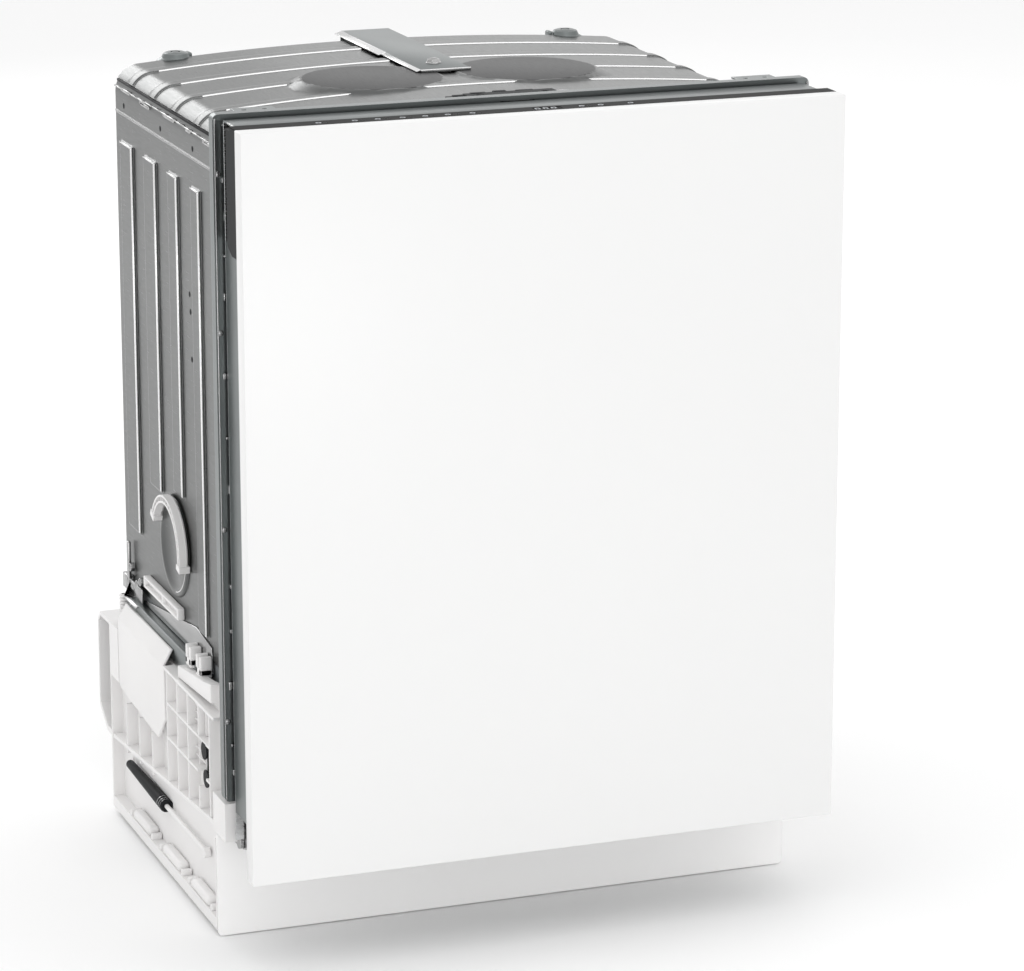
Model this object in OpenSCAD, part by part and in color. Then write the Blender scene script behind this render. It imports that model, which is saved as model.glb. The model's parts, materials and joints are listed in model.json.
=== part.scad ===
// Fully integrated built-in dishwasher with a white furniture panel on its door.
// Origin: floor level, middle of the outer box. +Z up, door on the -Y side, millimetres.

/* [Body] */
// Width of the cabinet over its front frame
body_w = 598; // [594:1:604]
// Height of the top edge of the front frame
body_h = 816; // [812:1:818]
// Depth from the face of the furniture panel to the end of the water inlet
body_d = 575; // [570:1:580]
// Width of the steel tub
tub_w = 554; // [550:1:556]
// Height of the middle of the vaulted roof
roof_crown_z = 804; // [800:1:805]
// Height of the roof where its long corners start
roof_edge_z = 793; // [790:1:795]
// Radius of the long roof corners
roof_corner_r = 26; // [20:1:30]
// Thickness of the sheet steel
sheet_t = 1.5; // [1:0.1:2]

/* [Door] */
// Width of the furniture panel
panel_w = 596; // [590:1:597]
// Thickness of the furniture panel
panel_t = 20; // [16:1:20]
// Height of the lower edge of the furniture panel
panel_z0 = 93.5; // [92:0.5:110]
// Height of the upper edge of the furniture panel
panel_z1 = 813; // [805:1:813]
// Width of the steel door
door_w = 580; // [570:1:581]
// Height of the lower edge of the control console
console_z0 = 693; // [680:1:700]

/* [Base] */
// Height of the kick plate
plinth_h = 107; // [95:1:108]
// Distance from the panel's face back to the kick plate
plinth_setback = 119; // [118:1:121]
// Height of the side walls of the base tray at the front
tray_front_h = 254; // [240:1:255]
// Radius of the levelling foot pads
foot_r = 20; // [15:1:22]

/* [Baskets] */
// Height of the floor of the lower basket
lower_floor_z = 140; // [138:1:150]
// Height of the floor of the upper basket
upper_floor_z = 470; // [468:1:480]
// Height of the underside of the cutlery tray
tray_floor_z = 744; // [743:1:748]
// Spacing of the basket wires
wire_pitch = 43; // [40:1:60]
// Thickness of the basket wires
wire_t = 4; // [3:0.5:5]

/* [Hidden] */
$fn = 48;
half_w = body_w / 2;
front_y = -body_d / 2;                     // face of the furniture panel
door_y0 = front_y + panel_t;               // back of the panel, front of the steel door
frame_y = door_y0 + 68;                    // front face of the front frame
frame_t = 3;                               // thickness of the front frame
flange_y = frame_y + 11;                   // rear edge of the front frame's flange
tub_y0 = frame_y + frame_t;                // front edge of the tub
tub_y1 = 227.5;                            // rear edge of the tub
tub_x = tub_w / 2;                         // outer face of the tub side
tub_z0 = 255;                              // lower edge of the steel tub
vault_x = tub_x - roof_corner_r;           // half width of the vault between its corners
vault_sag = roof_crown_z - roof_edge_z;    // rise of the vault
hinge_y = front_y + 95;                    // door hinge axis
hinge_z = 106;
liner_y = frame_y - 6.5;                   // front face of the inner door's flange
liner_back_y = hinge_y - 3.5;              // face of the inner door inside the tub
track_z = 103;                             // floor that the lower basket's wheels roll on
pan_z = 89;                                // deeper middle of the tub floor
pan_x = 190;                               // half width of that middle
plinth_y = front_y + plinth_setback;       // front face of the kick plate
base_z0 = 6;                               // underside of the base tray
base_x = half_w;                           // outer face of the base tray
wall_x = half_w - 15;                      // recessed side wall of the base tray
plastic_t = 3;                             // wall of the plastic mouldings
base_y0 = plinth_y + 3.5;                  // front of the base tray
base_y1 = 223.5;                           // rear of the base tray's lower part
box_y1 = 270.5;                            // rear of the boxes at the base tray's rear corners
arm_y = 16;                                // middle of both spray arms
sump_x = 40;                               // middle of the sump
sump_r = 96;
filter_x = 90;                             // middle of the filter
filter_y = -8;
filter_r = 34;
fit = 0.06;                                // radial clearance of a running fit
gap = 0.3;                                 // clearance between parts that pass each other
basket_y0 = -176;                          // front of the baskets
basket_y1 = 206;                           // rear of the baskets
lower_x = 236;                             // half width of the lower basket
upper_x = 250;                             // half width of the upper basket
wheel_r = 15;
wheel_x = 245;                             // inner face of the basket wheels
wheel_w = 10;
axle_r = 3;
wheel_y = [-45, 150];                      // the two axle lines
axle_z = track_z + gap + wheel_r;
rail_z = 588;                              // middle height of the upper basket's rails
tray_rail_z = 738;                         // upper face of the cutlery tray's rails
arm_pipe_z = 455;                          // water pipe under the upper basket
pull_x = half_w - 7;                       // line of the door's spring tubes
pull_z = 66;
nut_y = 42;                                // nut on the roof strap
ribs = [[167.5, 192.5], [87.5, 112.5], [11.5, 32.5], [-69.5, -47.5]]; // ribs pressed in the roof
pads = [[161.5, 208.5, 316], [75.5, 120.5, 382], [-2.5, 32.5, 396], [-79.5, -48.5, 274]];
disc_top_z = 806.5;                        // flat top of the two round roof pressings
pad_top_z = 721;                           // top of the pads pressed in the sides
key_x = [-215, -180, -158, -134, -112, -90, -66, 42, 61, 91]; // touch keys along the strip
foot_xy = [[-262, -140], [262, -140], [-262, 196], [262, 196]];

// ---- Helpers ----

// A box between two limits along each axis
module block(x, y, z) {
    translate([x[0], y[0], z[0]]) cube([x[1] - x[0], y[1] - y[0], z[1] - z[0]]);
}

// A flat outline in X and Z, drawn out along Y
module along_y(y) {
    translate([0, y[1], 0]) rotate([90, 0, 0]) linear_extrude(y[1] - y[0]) children();
}

// A flat outline in Y and Z, drawn out along X
module along_x(x) {
    translate([x[0], 0, 0]) rotate([90, 0, 90]) linear_extrude(x[1] - x[0]) children();
}

// A flat outline in X and Y, drawn out along Z
module along_z(z) {
    translate([0, 0, z[0]]) linear_extrude(z[1] - z[0]) children();
}

// Round bars along each axis
module rod_x(x, y, z, r) {
    translate([x[0], y, z]) rotate([0, 90, 0]) cylinder(r = r, h = x[1] - x[0]);
}

module rod_y(x, y, z, r) {
    translate([x, y[0], z]) rotate([-90, 0, 0]) cylinder(r = r, h = y[1] - y[0]);
}

module rod_z(x, y, z, r) {
    translate([x, y, z[0]]) cylinder(r = r, h = z[1] - z[0]);
}

// The same piece on the right and mirrored on the left
module both_sides() {
    children();
    mirror([1, 0, 0]) children();
}

// A rectangle between two limits along each axis
module rect(x, y) {
    translate([x[0], y[0]]) square([x[1] - x[0], y[1] - y[0]]);
}

// A rectangle with four round corners
module round_rect(x, y, r) {
    rect([x[0] + r, x[1] - r], y);
    rect(x, [y[0] + r, y[1] - r]);
    for (cx = [x[0] + r, x[1] - r], cy = [y[0] + r, y[1] - r]) translate([cx, cy]) circle(r);
}

// The tub's outline from the front: straight sides, round long corners and a vaulted roof.
// d shrinks it on every side.
module tub_outline(d, z0) {
    r = roof_corner_r - d;
    vault_r = (vault_x * vault_x + vault_sag * vault_sag) / (2 * vault_sag) - d;
    rect([-tub_x + d, tub_x - d], [z0, roof_edge_z - roof_corner_r]);
    rect([-vault_x, vault_x], [z0, roof_edge_z - d]);
    for (side = [-1, 1]) translate([side * vault_x, roof_edge_z - roof_corner_r]) circle(r);
    intersection() {
        translate([0, roof_crown_z - d - vault_r]) circle(vault_r, $fn = 256);
        rect([-vault_x, vault_x], [z0, roof_crown_z + 1]);
    }
}

// A flat wire grid: bars along both directions inside a frame
module grid(x, y) {
    nx = ceil((x[1] - x[0]) / wire_pitch);
    ny = ceil((y[1] - y[0]) / wire_pitch);
    dx = (x[1] - x[0] - wire_t) / nx;
    dy = (y[1] - y[0] - wire_t) / ny;
    difference() {
        rect(x, y);
        for (i = [0 : nx - 1], j = [0 : ny - 1])
            translate([x[0] + wire_t + i * dx, y[0] + wire_t + j * dy])
                square([dx - wire_t, dy - wire_t]);
    }
}

// ---- Tub and front frame ----

module tub_wrapper() color("gray") {
    rib_h = 2.5;
    pad_h = 4;
    difference() {
        union() {
            along_y([tub_y0, tub_y1]) tub_outline(0, tub_z0);
            for (rib = ribs) along_y(rib) difference() {
                tub_outline(-rib_h, roof_edge_z - 12);
                tub_outline(0.5, roof_edge_z - 14);
            }
            both_sides() for (pad = pads) along_z([pad[2], pad_top_z])
                polygon([[tub_x - 1, pad[0]], [tub_x + pad_h, pad[0] + pad_h],
                         [tub_x + pad_h, pad[1] - pad_h], [tub_x - 1, pad[1]]]);
            for (x = [-80, 80])
                translate([x, -5, roof_edge_z]) cylinder(r1 = 100, r2 = 68, h = disc_top_z - roof_edge_z);
        }
        along_y([tub_y0 - 1, tub_y1 + 1]) tub_outline(sheet_t, tub_z0 - 1);
    }
}

module tub_back() color("gray")
    along_y([tub_y1 - 2.5, tub_y1]) tub_outline(sheet_t, tub_z0 + 8);

module front_frame() color("gray") {
    rim = flange_y - frame_y;
    leg_z = 149;
    difference() {
        along_y([frame_y, frame_y + rim]) round_rect([-half_w, half_w], [leg_z, body_h], 6);
        along_y([frame_y + frame_t, frame_y + rim + 1])
            round_rect([-half_w + sheet_t, half_w - sheet_t], [leg_z - 20, body_h - sheet_t], 5);
        along_y([frame_y - 1, frame_y + rim + 1]) round_rect([-270, 270], [leg_z - 60, 786], 30);
        block([-18, 18], [frame_y - 1, frame_y + frame_t + 1], [804.6, 811]);
    }
}

module door_seal() color("dimgray")
    along_y([frame_y - 4.7, frame_y]) difference() {
        round_rect([-283, 283], [120, 799], 34);
        round_rect([-273, 273], [100, 789], 26);
        rect([-290, 290], [90, 152]);
    }

module worktop_brackets() color("silver") both_sides() difference() {
    block([232, 272], [tub_y0, -166], [body_h - 2 * sheet_t, body_h - sheet_t]);
    for (x = [242, 262]) rod_z(x, -178, [body_h - 10, body_h + 5], 2.5);
}

module latch_plate() color("silver") difference() {
    along_z([811, 812.5]) polygon([[-95, tub_y0], [95, tub_y0], [57, -163], [-9, -163]]);
    block([-46, 46], [tub_y0 - 1, -170], [800, 820]);
}

module latch_body() color("black") difference() {
    union() {
        block([-45, 45], [tub_y0, -171], [805, body_h - sheet_t - 0.2]);
        block([-45, 45], [flange_y + 0.2, -171], [814, 815.5]);
        block([-28, 30], [flange_y + 0.2, -176], [815, body_h]);
    }
    block([-16, 16], [tub_y0 - 1, -180], [804, 810.6]);
    for (x = [-34, 34]) rod_z(x, -184, [810, 820], 3);
}

module roof_strap() color("silver") difference() {
    along_x([-26, 26]) polygon([[261, 796], [263, 796], [263, 808], [261, 810], [118, 810],
        [4, disc_top_z + 2.1], [4, disc_top_z + 0.1], [118, 808], [261, 808]]);
    rod_z(0, nut_y, [790, 830], 4);
}

module rear_spacers() color("silver") both_sides() difference() {
    union() {
        translate([212, 229, 791]) cylinder(r1 = 20, r2 = 12, h = 12);
        block([194, 230], [tub_y1, 231], [760, 795]);
    }
    along_y([200, tub_y1]) tub_outline(-gap, 700);
    rod_z(212, 229, [780, 810], 5);
}

module fasteners() color("lightgray") {
    difference() {
        translate([0, nut_y, 809.2]) cylinder(r = 9, h = 5, $fn = 6);
        rod_z(0, nut_y, [800, 820], 3);
    }
    both_sides() for (z = [230, 420, 610, 760]) rod_y(294.5, [frame_y - 1.8, frame_y], z, 3);
}

// ---- Side fittings ----

module vent_ring() color("gray") difference() {
    rod_x([-tub_x - 2.5, -tub_x], 36, 338, 50);
    rod_x([-tub_x - 3, -tub_x - 1], 36, 338, 45);
}

// The ribbed strap round the vent, and a slotted clip bar on each side
module vent_fittings() color("gainsboro") {
    translate([-tub_x - 12, 36, 338]) rotate([90, 0, 90])
        rotate_extrude(angle = 125, start = 70) translate([45.5, 0]) square([8, 9.5]);
    both_sides() difference() {
        block([tub_x, tub_x + 7], [7, 135], [271, 281]);
        block([tub_x + 3, tub_x + 8], [14, 128], [274, 278]);
    }
}

module side_ledges() color("darkgray") both_sides() {
    block([tub_x, wall_x + 3], [-95, 180], [244, 246]);
    block([wall_x + 1.5, wall_x + 3], [-95, 180], [226, 244]);
}

module rope_pulleys() color("black") both_sides() {
    rod_x([wall_x + 3, wall_x + 12], -118, 175, 9);
    rod_x([wall_x + 3, wall_x + 12], -124, 148, 9);
    block([wall_x + 3, wall_x + 8], [-127, -115], [148, 175]);
}

// ---- Base ----

// One side carrier of the base: a wall with its shelves, ribs and hinge cover
module tray_side() {
    shelf_drop = 30 / 381;
    along_x([wall_x, wall_x + plastic_t]) polygon([[base_y0, base_z0], [base_y1, base_z0],
        [base_y1, 205], [190, 222], [13, 222], [-123, 226], [-147, 250], [base_y0, tray_front_h]]);
    block([wall_x, base_x], [base_y0, base_y1], [base_z0, 18]);
    along_x([wall_x, base_x]) polygon([[base_y0, 114], [216, 84], [216, 88], [base_y0, 118]]);
    for (y = [base_y0, base_y1 - plastic_t]) block([wall_x, base_x], [y, y + plastic_t], [base_z0, 100]);
    for (i = [0 : 4]) {
        y = -150 + 38 * i;
        block([wall_x, base_x], [y, y + 2.5], [116 - (y + 165) * shelf_drop, 222]);
    }
    for (z = [150, 186]) block([wall_x, base_x], [-150, 4], [z, z + 2.5]);
    for (y = [60, 110, 160]) block([wall_x, base_x], [y, y + 2.5], [110 - (y + 165) * shelf_drop, 138]);
    block([wall_x, base_x], [base_y0, 13], [220, 223]);
    block([wall_x + plastic_t, base_x], [frame_y, base_y0 + 6], [plinth_h + 1, 147]);
    block([wall_x - 3, wall_x + 1], [30, 186], [pull_z - 11, pull_z + 11]);
}

// One box at the rear corner of the base, open towards the side
module tray_rear_box() difference() {
    along_x([236, base_x]) polygon([[base_y1 - plastic_t, 84], [240, 84], [box_y1, 104],
        [box_y1, 200], [260, 210], [189.5, 210], [189.5, 152], [base_y1 - plastic_t, 152]]);
    along_x([239, base_x + 1]) polygon([[base_y1, 90], [239, 90], [box_y1 - 3, 108],
        [box_y1 - 3, 198], [259, 206], [base_y1, 206]]);
}

module tray_sides() color("whitesmoke") both_sides() difference() {
    union() {
        tray_side();
        tray_rear_box();
    }
    block([200, wall_x], [base_y1 - 5, base_y1 + gap], [0, 101]);
    block([200, tub_x - 1], [0, tub_y1 + gap], [track_z - 4, 300]);
    rod_y(pull_x, [31, 185], pull_z, 7.2);
    block([wall_x + plastic_t, base_x + 1], [-136, -106], [137, 187]);
}

// The floor pan between the two side carriers
module base_tray() color("whitesmoke") {
    x = wall_x - gap;
    difference() {
        union() {
            block([-x, x], [base_y0, base_y1], [base_z0, base_z0 + plastic_t]);
            block([-x, x], [base_y0, base_y0 + plastic_t], [base_z0, 99]);
            block([-x, x], [base_y1 - plastic_t, base_y1], [base_z0, 96]);
            for (foot = foot_xy) rod_z(foot[0], foot[1], [base_z0, 40], 11);
        }
        for (foot = foot_xy) rod_z(foot[0], foot[1], [0, 60], 5 + fit);
        rod_y(-200, [base_y1 - 10, base_y1 + 5], 58, 17);
        rod_y(200, [base_y1 - 10, base_y1 + 5], 58, 15);
        block([78, 122], [base_y1 - 10, base_y1 + 5], [30, 66]);
    }
}

module side_covers() color("white") both_sides() {
    along_x([base_x - plastic_t, base_x]) polygon([[13.5, 222], [189, 222], [189, 152],
        [181.5, 148], [55.5, 139.5], [40, 139.5], [13.5, 166]]);
    along_y([17, 189]) polygon([[base_x - plastic_t, 222], [base_x, 222],
        [base_x - 9, 238], [base_x - 12, 238]]);
}

// The kick plate; its ears stand up beside the tub
module plinth() color("whitesmoke") {
    x = half_w - 0.5;
    along_y([plinth_y, plinth_y + 3]) {
        round_rect([-x, x], [1, 99], 4);
        for (ear_x = [-x, wall_x + gap]) rect([ear_x, ear_x + x - wall_x - gap], [20, plinth_h]);
    }
}

module base_tub() color("gainsboro") {
    x = tub_x - sheet_t - 0.2;
    difference() {
        union() {
            block([-x, x], [tub_y0 + 8, tub_y1 - 2.7], [track_z - 3, 262]);
            both_sides() block([x - 3, x], [tub_y0, tub_y0 + 10], [150, 262]);
            block([-pan_x - 3, pan_x + 3], [-153, 193], [pan_z - 3, track_z]);
        }
        block([-x + 3, x - 3], [tub_y0, tub_y1 - 5.7], [track_z, 270]);
        block([-pan_x, pan_x], [-150, 190], [pan_z, track_z + 5]);
        rod_z(sump_x, 0, [pan_z - 10, pan_z + 5], sump_r - 6);
        rod_z(-150, -60, [pan_z - 10, pan_z + 5], 31);
    }
}

module hinge_brackets() color("silver") both_sides() {
    x = tub_x + 3.5;
    along_x([x, wall_x]) {
        rect([hinge_y, base_y0 + 40], [hinge_z - 5.5, 118]);
        translate([hinge_y, hinge_z]) circle(8);
    }
    rod_x([tub_x - 0.5, wall_x], hinge_y, hinge_z, 5 - fit);
}

module door_springs() color("black") both_sides() difference() {
    union() {
        translate([pull_x, 41, pull_z]) rotate([-90, 0, 0]) cylinder(r1 = 6.9, r2 = 4.5, h = 138);
        rod_y(pull_x, [36, 42], pull_z, 7);
    }
    rod_y(pull_x, [30, 120], pull_z, 2.5 + fit);
}

module pull_rods() color("white") both_sides() {
    rod_y(pull_x, [-108, 70], pull_z, 2.5);
    rod_x([pull_x - 3, pull_x + 3], -108, pull_z, 5);
}

// A levelling foot: a round pad on a threaded stem
module foot(p) color("dimgray") {
    rod_z(p[0], p[1], [0, base_z0 - 0.5], foot_r);
    rod_z(p[0], p[1], [1, 76], 5);
}

// ---- Hydraulics ----

module sump() color("dimgray") difference() {
    union() {
        rod_z(sump_x, 0, [20, pan_z - 3.3], sump_r);
        rod_y(20, [80, sump_r + 2], 50, 18);
        rod_z(0, arm_y, [40, 112], 10);
    }
    difference() {
        rod_z(sump_x, 0, [24, 90], sump_r - 4);
        rod_z(0, arm_y, [20, 112], 10);
    }
    rod_z(0, arm_y, [60, 113], 7);
}

module filter_plate() color("silver") difference() {
    rod_z(sump_x, 0, [pan_z, pan_z + 1.5], sump_r + 6);
    rod_z(filter_x, filter_y, [pan_z - 1, pan_z + 3], filter_r + gap + 0.3);
    rod_z(0, arm_y, [pan_z - 1, pan_z + 3], 11);
    for (a = [0 : 30 : 330], r = [52, 70, 86])
        if (norm([sump_x + r * cos(a) - filter_x, r * sin(a) - filter_y]) > filter_r + 6
            && norm([sump_x + r * cos(a), r * sin(a) - arm_y]) > 18)
            rod_z(sump_x + r * cos(a), r * sin(a), [pan_z - 1, pan_z + 3], 2);
}

module filter_cylinder() color("lightgray") difference() {
    union() {
        rod_z(filter_x, filter_y, [34, pan_z + 3], filter_r);
        block([filter_x - 22, filter_x + 22], [filter_y - 3, filter_y + 3], [pan_z - 20, pan_z + 14]);
    }
    difference() {
        rod_z(filter_x, filter_y, [37, pan_z + 4], filter_r - 2.5);
        block([filter_x - 40, filter_x + 40], [filter_y - 3, filter_y + 3], [30, pan_z + 20]);
    }
}

module circulation_pump() color("dimgray") {
    rod_x([-20, 60], 160, 50, 33);
    rod_x([60, 130], 160, 50, 26);
    rod_y(20, [sump_r + 2, 130], 50, 16);
}

module drain_pump() color("dimgray") {
    rod_x([sump_x + sump_r, 200], 0, 48, 20);
    block([200, 212], [-22, 22], [30, 66]);
}

module softener() color("whitesmoke") difference() {
    union() {
        block([-210, -90], [-140, 40], [12, 84]);
        rod_z(-150, -60, [80, pan_z + 3], 30);
    }
    rod_z(-150, -60, [30, pan_z + 4], 22);
}

module salt_cap() color("white") difference() {
    union() {
        rod_z(-150, -60, [pan_z + 3 + gap, pan_z + 13], 34);
        rod_z(-150, -60, [70, pan_z + 4], 22 - fit);
    }
    rod_z(-150, -60, [68, pan_z + 2], 18);
    difference() {
        rod_z(-150, -60, [pan_z + 9, pan_z + 14], 26);
        block([-174, -126], [-64, -56], [pan_z + 8, pan_z + 13]);
    }
}

module inlet_valve() color("white") {
    block([-222, -178], [180, base_y1 - 3.5], [38, 78]);
    rod_y(-200, [base_y1 - 4, body_d / 2], 58, 13.22);
    rod_z(-200, 200, [70, 98], 10);
}

module drain_spigot() color("dimgray") difference() {
    union() {
        rod_y(200, [200, 282], 58, 10.5);
        rod_y(200, [base_y1, base_y1 + 5], 58, 20);
    }
    rod_y(200, [205, 290], 58, 8);
}

module power_inlet() color("black") difference() {
    block([80, 120], [base_y1 - 22, base_y1 + 20], [32, 64]);
    rod_y(100, [base_y1 + 5, base_y1 + 21], 48, 5);
}

module supply_pipe() color("silver") difference() {
    union() {
        block([-22, 22], [210, tub_y1 - 5.7], [track_z, 797]);
        block([-14, 14], [40, 209.7], [786, 797]);
        rod_y(0, [204.5, 212], arm_pipe_z, 13);
    }
    rod_y(0, [200, 218], arm_pipe_z, 9.5);
}

module ceiling_sprayer() color("lightgray") difference() {
    rod_z(0, 40, [777, 786], 28);
    for (a = [0 : 60 : 300]) rod_z(18 * cos(a), 40 + 18 * sin(a), [770, 790], 2);
}

// A spray arm: a flat bar with round ends, a hub and spray holes
module spray_arm(z, reach, hub_z, bore, bore_z) {
    difference() {
        union() {
            along_z(z) {
                rect([15 - reach, reach - 15], [arm_y - 15, arm_y + 15]);
                for (side = [-1, 1]) translate([side * (reach - 15), arm_y]) circle(15);
            }
            rod_z(0, arm_y, hub_z, bore + 6);
        }
        rod_z(0, arm_y, bore_z, bore);
        for (i = [2 : 6], side = [-1, 1])
            rod_z(side * i * reach / 7, arm_y + side * 5, [z[0] - 1, z[1] + 1], 1.6);
    }
}

module lower_spray_arm() color("lightgray")
    spray_arm([113, 121], 190, [97, 126], 10 + fit, [96, 123]);

module upper_spray_arm() color("lightgray")
    spray_arm([432, 439], 180, [430, 442], 7 + fit, [433, 443]);

// ---- Rails and baskets ----

// The fixed rails of the upper basket, and the ledges of the cutlery tray above them
module basket_rails() color("silver") both_sides() along_y([-175, 205]) {
    rect([270.5, 272.5], [rail_z - 12, rail_z + 12]);
    rect([264, 272], [rail_z - 12, rail_z - 10]);
    rect([264, 272], [rail_z + 10, rail_z + 12]);
    rect([272, 275.5], [rail_z - 5, rail_z + 5]);
    rect([260, 275], [tray_rail_z - 2, tray_rail_z]);
    rect([273.5, 275.5], [tray_rail_z - 8, tray_rail_z + 10]);
}

module rail_mids() color("gainsboro") both_sides() along_y([-175, 205]) difference() {
    rect([265, 270], [rail_z - 9.5, rail_z + 9.5]);
    rect([264, 268], [rail_z - 5, rail_z + 5]);
}

// One row of upright tines on a floor wire
module comb(step, z0, z1) {
    rect([-4 * step, 4 * step], [z0, z0 + wire_t]);
    for (j = [-4 : 4]) rect([j * step - 1.5, j * step + 1.5], [z0, z1]);
}

// Its floor with the tines, and four wall grids that stand on the floor
module lower_basket() color("gainsboro") {
    y = [basket_y0, basket_y1];
    wall_z = [lower_floor_z + wire_t + gap, 290];
    inner_x = lower_x - wire_t - gap;
    along_z([lower_floor_z, lower_floor_z + wire_t]) grid([-lower_x, lower_x], y);
    for (i = [1 : 7]) along_y([-150 + 42 * i, -147 + 42 * i])
        comb(48, lower_floor_z, 215);
    for (wy = [y[0], y[1] - wire_t]) along_y([wy, wy + wire_t]) grid([-inner_x, inner_x], wall_z);
    both_sides() along_x([lower_x - wire_t, lower_x]) grid(y, wall_z);
}

// Four carriers clipped on the lower basket's sides, each with a wheel's axle
module wheel_carriers() color("gainsboro") both_sides() for (y = wheel_y) {
    block([lower_x, lower_x + 4], [y - 6, y + 6], [axle_z - 6, lower_floor_z + 12]);
    rod_x([lower_x, wheel_x + wheel_w + 2], y, axle_z, axle_r);
}

// The two basket wheels that turn about one axle line
module wheel_pair(y) color("whitesmoke") both_sides() difference() {
    rod_x([wheel_x, wheel_x + wheel_w], y, axle_z, wheel_r);
    rod_x([wheel_x - 1, wheel_x + wheel_w + 1], y, axle_z, axle_r + fit);
    for (a = [0 : 60 : 300])
        rod_x([wheel_x - 1, wheel_x + wheel_w + 1], y + 9 * cos(a), axle_z + 9 * sin(a), 2.5);
}

module upper_basket() color("gainsboro") {
    y = [basket_y0, basket_y1];
    z = [upper_floor_z, 600];
    along_z([z[0], z[0] + wire_t]) grid([-upper_x, upper_x], y);
    for (wy = [y[0], y[1] - wire_t]) along_y([wy, wy + wire_t]) grid([-upper_x, upper_x], z);
    both_sides() along_x([upper_x - wire_t, upper_x]) grid(y, z);
    both_sides() block([upper_x - 1, 267], [-175, 205], [rail_z - 4, rail_z + 4]);
    for (i = [1 : 4]) along_y([-150 + 70 * i, -147 + 70 * i])
        comb(50, upper_floor_z, 520);
    rod_y(0, [arm_y - 10, basket_y1 - 3], arm_pipe_z, 9);
    rod_z(0, arm_y, [435, upper_floor_z + 2], 7);
}

module cutlery_tray() color("gainsboro") {
    y = [basket_y0, basket_y1 - 2];
    z = [tray_floor_z + 3 + gap, tray_floor_z + 22];
    inner_y = [y[0] + 3 + gap, y[1] - 3 - gap];
    along_z([tray_floor_z, tray_floor_z + 3]) grid([-252, 252], y);
    for (wy = [y[0], y[1] - 3]) block([-252, 252], [wy, wy + 3], z);
    both_sides() block([249, 252], inner_y, z);
    for (x = [-85, 85]) block([x - 1.5, x + 1.5], inner_y, [z[0], z[1] - 4]);
    both_sides() block([250, 269], [-174, 203], [tray_rail_z + gap, tray_floor_z + 1]);
}

// ---- Door ----

module furniture_panel() color("white")
    along_y([front_y, door_y0]) round_rect([-panel_w / 2, panel_w / 2], [panel_z0, panel_z1], 3);

module door_outer() color("gray") {
    x = door_w / 2;
    difference() {
        block([-x, x], [door_y0, liner_y], [140, console_z0 + 6]);
        block([-x + sheet_t, x - sheet_t], [door_y0 + sheet_t, liner_y + 1], [140 + sheet_t, 750]);
        both_sides() block([276, 281], [-226, -200], [130, 150]);
    }
}

module door_liner() color("silver") {
    x = door_w / 2;
    difference() {
        union() {
            block([-x, x], [liner_y, liner_y + sheet_t], [112, body_h - 5]);
            along_y([liner_y, liner_back_y]) round_rect([-262, 262], [125, 778], 24);
            block([-x, x], [door_y0 + 20.2, liner_y + 1], [809.5, 811]);
        }
        along_y([liner_y - 1, liner_back_y - sheet_t])
            round_rect([-262 + sheet_t, 262 - sheet_t], [126.5, 776.5], 22.5);
        both_sides() block([275, 282], [-215, -195], [100, 152]);
    }
}

module console() color("black") {
    x = panel_w / 2 - 1;
    difference() {
        along_x([-x, x]) polygon([[door_y0, console_z0], [-250, console_z0], [-236, console_z0 + 7],
            [-236, 809.3], [door_y0 + 20, 809.3], [door_y0 + 20, 811.5], [door_y0, 811.5]]);
        block([-x + 3, x - 3], [door_y0 + 3, -230], [console_z0 + 10, 806]);
        block([-door_w / 2 - gap, door_w / 2 + gap], [door_y0 - 1, -230], [600, console_z0 + 6.3]);
    }
}

module touch_strip() color("black") difference() {
    block([-panel_w / 2 + 1, panel_w / 2 - 1], [door_y0, door_y0 + 20], [811.5, panel_z1]);
    touch_marks([panel_z1 - 0.4, panel_z1 + 1]);
}

// Round key marks and one display window, sunk level with the strip
module touch_marks(z) {
    y = door_y0 + 10;
    for (x = key_x) rod_z(x, y, z, 3);
    block([-6, 22], [y - 4, y + 4], z);
}

module touch_keys() color("white") touch_marks([panel_z1 - 0.4, panel_z1]);

module hinge_arms() color("silver") both_sides() along_x([tub_x, tub_x + 3]) difference() {
    union() {
        translate([hinge_y, hinge_z]) circle(9);
        polygon([[hinge_y, hinge_z - 9], [hinge_y - 20, hinge_z - 4], [hinge_y - 32, 150],
                 [hinge_y - 32, 290], [hinge_y - 20, 290], [hinge_y - 20, 140], [hinge_y, hinge_z + 9]]);
    }
    translate([hinge_y, hinge_z]) circle(5);
}

module bottom_seal() color("dimgray")
    along_x([-262, 262]) polygon([[liner_y, 105], [liner_y + 6, 104.5], [liner_y + 8, 107],
        [liner_y + 6, 112], [liner_y, 112]]);

module latch_hook() color("silver") difference() {
    block([-13, 13], [liner_y + sheet_t, -183], [805.2, 809.2]);
    block([-8, 8], [-194, -188], [800, 815]);
}

module dispenser_body() color("gray") difference() {
    along_y([liner_back_y, liner_back_y + 8]) round_rect([-100, 100], [380, 522], 12);
    block([-82, -12], [liner_back_y + 1.5, liner_back_y + 9], [398, 452]);
    rod_y(48, [liner_back_y + 1.5, liner_back_y + 9], 440, 16);
}

module dispenser_lid() color("gainsboro") {
    y = liner_back_y + 8 + gap;
    along_y([y, y + 2.5]) round_rect([-88, -6], [393, 457], 5);
    block([-60, -34], [y + 2, y + 5], [440, 446]);
}

module rinse_cap() color("gainsboro") {
    y = liner_back_y + 8;
    rod_y(48, [y - 6, y + 1], 440, 16 - fit);
    rod_y(48, [y + gap, y + 3], 440, 20);
    block([34, 62], [y + 2, y + 6], [438, 442]);
}

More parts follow.
